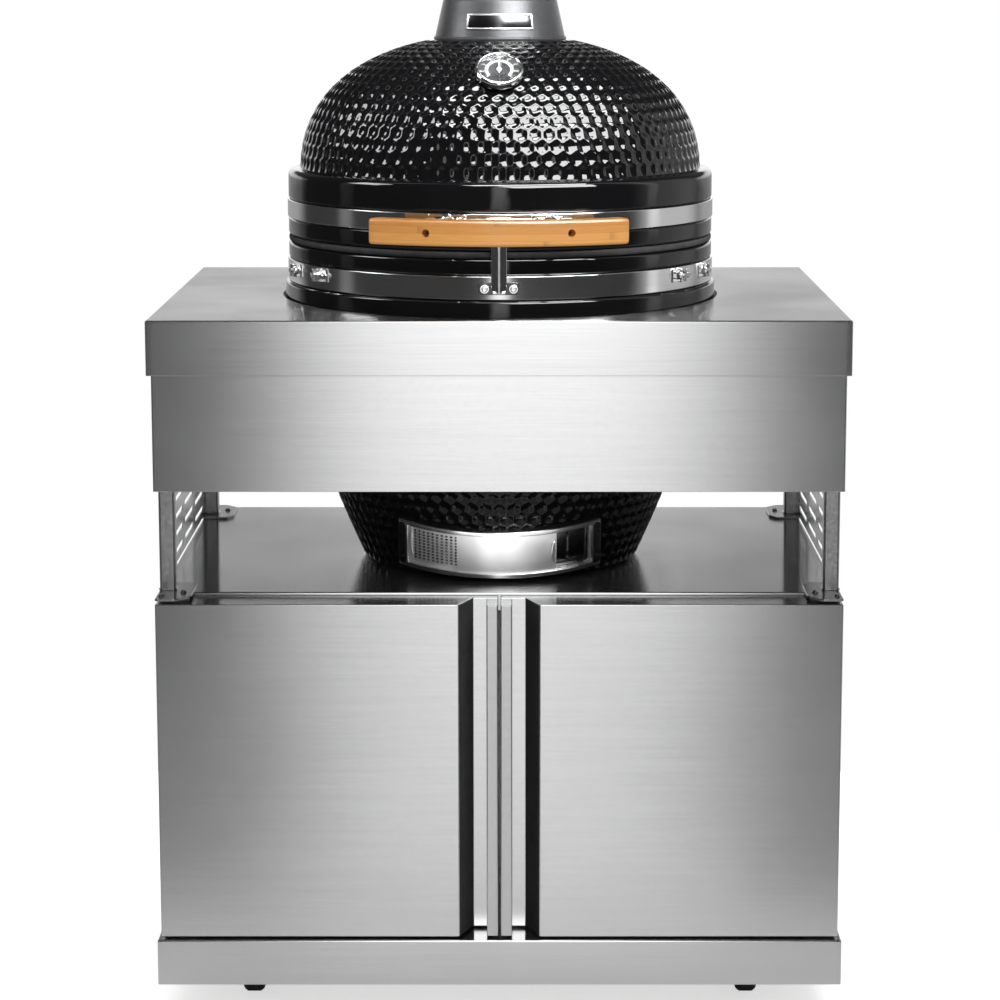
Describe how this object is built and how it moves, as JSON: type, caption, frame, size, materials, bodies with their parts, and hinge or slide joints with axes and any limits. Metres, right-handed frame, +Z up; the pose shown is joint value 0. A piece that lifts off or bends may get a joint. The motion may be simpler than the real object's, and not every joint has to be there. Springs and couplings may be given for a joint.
{
  "type": "kamado grill table",
  "caption": "Brushed steel cabinet on casters with a glazed ceramic kamado grill set through its worktop, with hinged dome, wooden handle, draft slides and two doors.",
  "frame": {"origin": "on the floor, under the grill's own axis, which is the middle of the table and midway between the front of the wooden handle and the back of the rear hinge", "axes": "+X to the right seen from the front, +Y to the back, +Z up"},
  "size_m": [0.9, 0.71, 1.4236],
  "materials": {
    "brushed_steel": "brushed stainless steel sheet, fine grain along each face",
    "polished_steel": "polished stainless steel",
    "zinc_steel": "satin zinc-plated steel",
    "black_steel": "black powder-coated steel",
    "black_glaze": "glossy black glaze over pitted ceramic",
    "fire_clay": "matt unglazed fire clay",
    "cast_iron": "raw cast iron",
    "black_cast_metal": "dark grey textured paint on a casting",
    "bamboo": "oiled laminated bamboo",
    "felt": "black felt gasket",
    "rubber": "black rubber tread",
    "black_plastic": "black moulded plastic",
    "pointer_white": "white painted pointer"
  },
  "bodies": {
    "table": {"worktop": "brushed_steel", "front_apron": "brushed_steel", "rear_apron": "brushed_steel", "cabinet_top": "brushed_steel", "cabinet_back": "brushed_steel", "base_plinth": "brushed_steel", "post_front_left": "brushed_steel", "post_front_right": "brushed_steel", "post_rear_left": "brushed_steel", "post_rear_right": "brushed_steel", "left_vent_panel": "brushed_steel", "right_vent_panel": "brushed_steel", "left_side_panel": "brushed_steel", "right_side_panel": "brushed_steel", "left_hinge_upper": "zinc_steel", "right_hinge_upper": "zinc_steel", "left_hinge_lower": "zinc_steel", "right_hinge_lower": "zinc_steel", "front_caster_plate_left": "zinc_steel", "front_caster_plate_right": "zinc_steel", "rear_caster_bracket_left": "black_steel", "rear_caster_bracket_right": "black_steel", "base_shell": "black_glaze", "lower_band": "polished_steel", "base_gasket": "felt", "firebox": "fire_clay", "fire_ring": "fire_clay", "charcoal_grate": "cast_iron", "cooking_grate": "polished_steel", "draft_frame": "polished_steel", "lid_catch": "polished_steel", "rear_hinge_base": "zinc_steel", "hinge_pin": "zinc_steel", "hinge_spring_left": "zinc_steel", "hinge_spring_right": "zinc_steel"},
    "dome_lid": {"dome_shell": "black_glaze", "upper_band": "polished_steel", "rear_hinge_arm": "zinc_steel", "wooden_handle": "bamboo", "handle_bracket_left": "polished_steel", "handle_bracket_right": "polished_steel", "thermometer": "polished_steel", "chimney_collar": "black_cast_metal"},
    "damper": {"damper_sleeve": "black_cast_metal", "damper_cap": "black_cast_metal"},
    "dial_pointer": {"thermometer_pointer": "pointer_white"},
    "left_door_leaf": {"left_door": "brushed_steel", "left_door_handle": "brushed_steel"},
    "right_door_leaf": {"right_door": "brushed_steel", "right_door_handle": "brushed_steel"},
    "air_screen": {"draft_screen": "polished_steel"},
    "air_slide": {"draft_door": "polished_steel"},
    "caster_fork_left": {"front_caster_fork_left": "black_steel"},
    "caster_fork_right": {"front_caster_fork_right": "black_steel"},
    "caster_wheel_left": {"front_wheel_left": "rubber"},
    "caster_wheel_right": {"front_wheel_right": "rubber"},
    "caster_brake_left": {"brake_pedal_left": "black_plastic"},
    "caster_brake_right": {"brake_pedal_right": "black_plastic"},
    "back_wheel_left": {"rear_wheel_left": "rubber"},
    "back_wheel_right": {"rear_wheel_right": "rubber"}
  },
  "joints": [
    {"name": "dome_lift", "type": "hinge", "parent": "table", "child": "dome_lid", "pos_m": [0, 0.322, 1.012], "axis": [-1, 0, 0], "range_deg": [0, 65], "deforming": ["hinge_spring_left", "hinge_spring_right"]},
    {"name": "damper_turn", "type": "hinge", "parent": "dome_lid", "child": "damper", "pos_m": [0, 0, 1.35], "axis": [0, 0, 1], "range_deg": [0, 45]},
    {"name": "thermometer_pointer_turn", "type": "hinge", "parent": "dome_lid", "child": "dial_pointer", "pos_m": [0, -0.20471, 1.23802], "axis": [0, -0.6428, 0.766], "range_deg": [-150, 30]},
    {"name": "left_door_swing", "type": "hinge", "parent": "table", "child": "left_door_leaf", "pos_m": [-0.44, -0.272, 0.338], "axis": [0, 0, -1], "range_deg": [0, 110]},
    {"name": "right_door_swing", "type": "hinge", "parent": "table", "child": "right_door_leaf", "pos_m": [0.44, -0.272, 0.338], "axis": [0, 0, 1], "range_deg": [0, 110]},
    {"name": "draft_screen_slide", "type": "hinge", "parent": "table", "child": "air_screen", "pos_m": [0, -0.0073, 0.66495], "axis": [0, -0.2588, 0.9659], "range_deg": [0, 33]},
    {"name": "draft_door_slide", "type": "hinge", "parent": "table", "child": "air_slide", "pos_m": [0, -0.0073, 0.66495], "axis": [0, -0.2588, 0.9659], "range_deg": [-19, 13]},
    {"name": "caster_swivel_left", "type": "hinge", "parent": "table", "child": "caster_fork_left", "pos_m": [-0.333, -0.235, 0.1], "axis": [0, 0, 1], "continuous": true},
    {"name": "caster_swivel_right", "type": "hinge", "parent": "table", "child": "caster_fork_right", "pos_m": [0.333, -0.235, 0.1], "axis": [0, 0, 1], "continuous": true},
    {"name": "front_wheel_left_roll", "type": "hinge", "parent": "caster_fork_left", "child": "caster_wheel_left", "pos_m": [-0.333, -0.207, 0.0375], "axis": [1, 0, 0], "continuous": true},
    {"name": "front_wheel_right_roll", "type": "hinge", "parent": "caster_fork_right", "child": "caster_wheel_right", "pos_m": [0.333, -0.207, 0.0375], "axis": [1, 0, 0], "continuous": true},
    {"name": "brake_press_left", "type": "hinge", "parent": "caster_fork_left", "child": "caster_brake_left", "pos_m": [-0.333, -0.179, 0.074], "axis": [-1, 0, 0], "range_deg": [0, 8]},
    {"name": "brake_press_right", "type": "hinge", "parent": "caster_fork_right", "child": "caster_brake_right", "pos_m": [0.333, -0.179, 0.074], "axis": [-1, 0, 0], "range_deg": [0, 8]},
    {"name": "rear_wheel_left_roll", "type": "hinge", "parent": "table", "child": "back_wheel_left", "pos_m": [-0.333, 0.235, 0.0375], "axis": [1, 0, 0], "continuous": true},
    {"name": "rear_wheel_right_roll", "type": "hinge", "parent": "table", "child": "back_wheel_right", "pos_m": [0.333, 0.235, 0.0375], "axis": [1, 0, 0], "continuous": true}
  ]
}
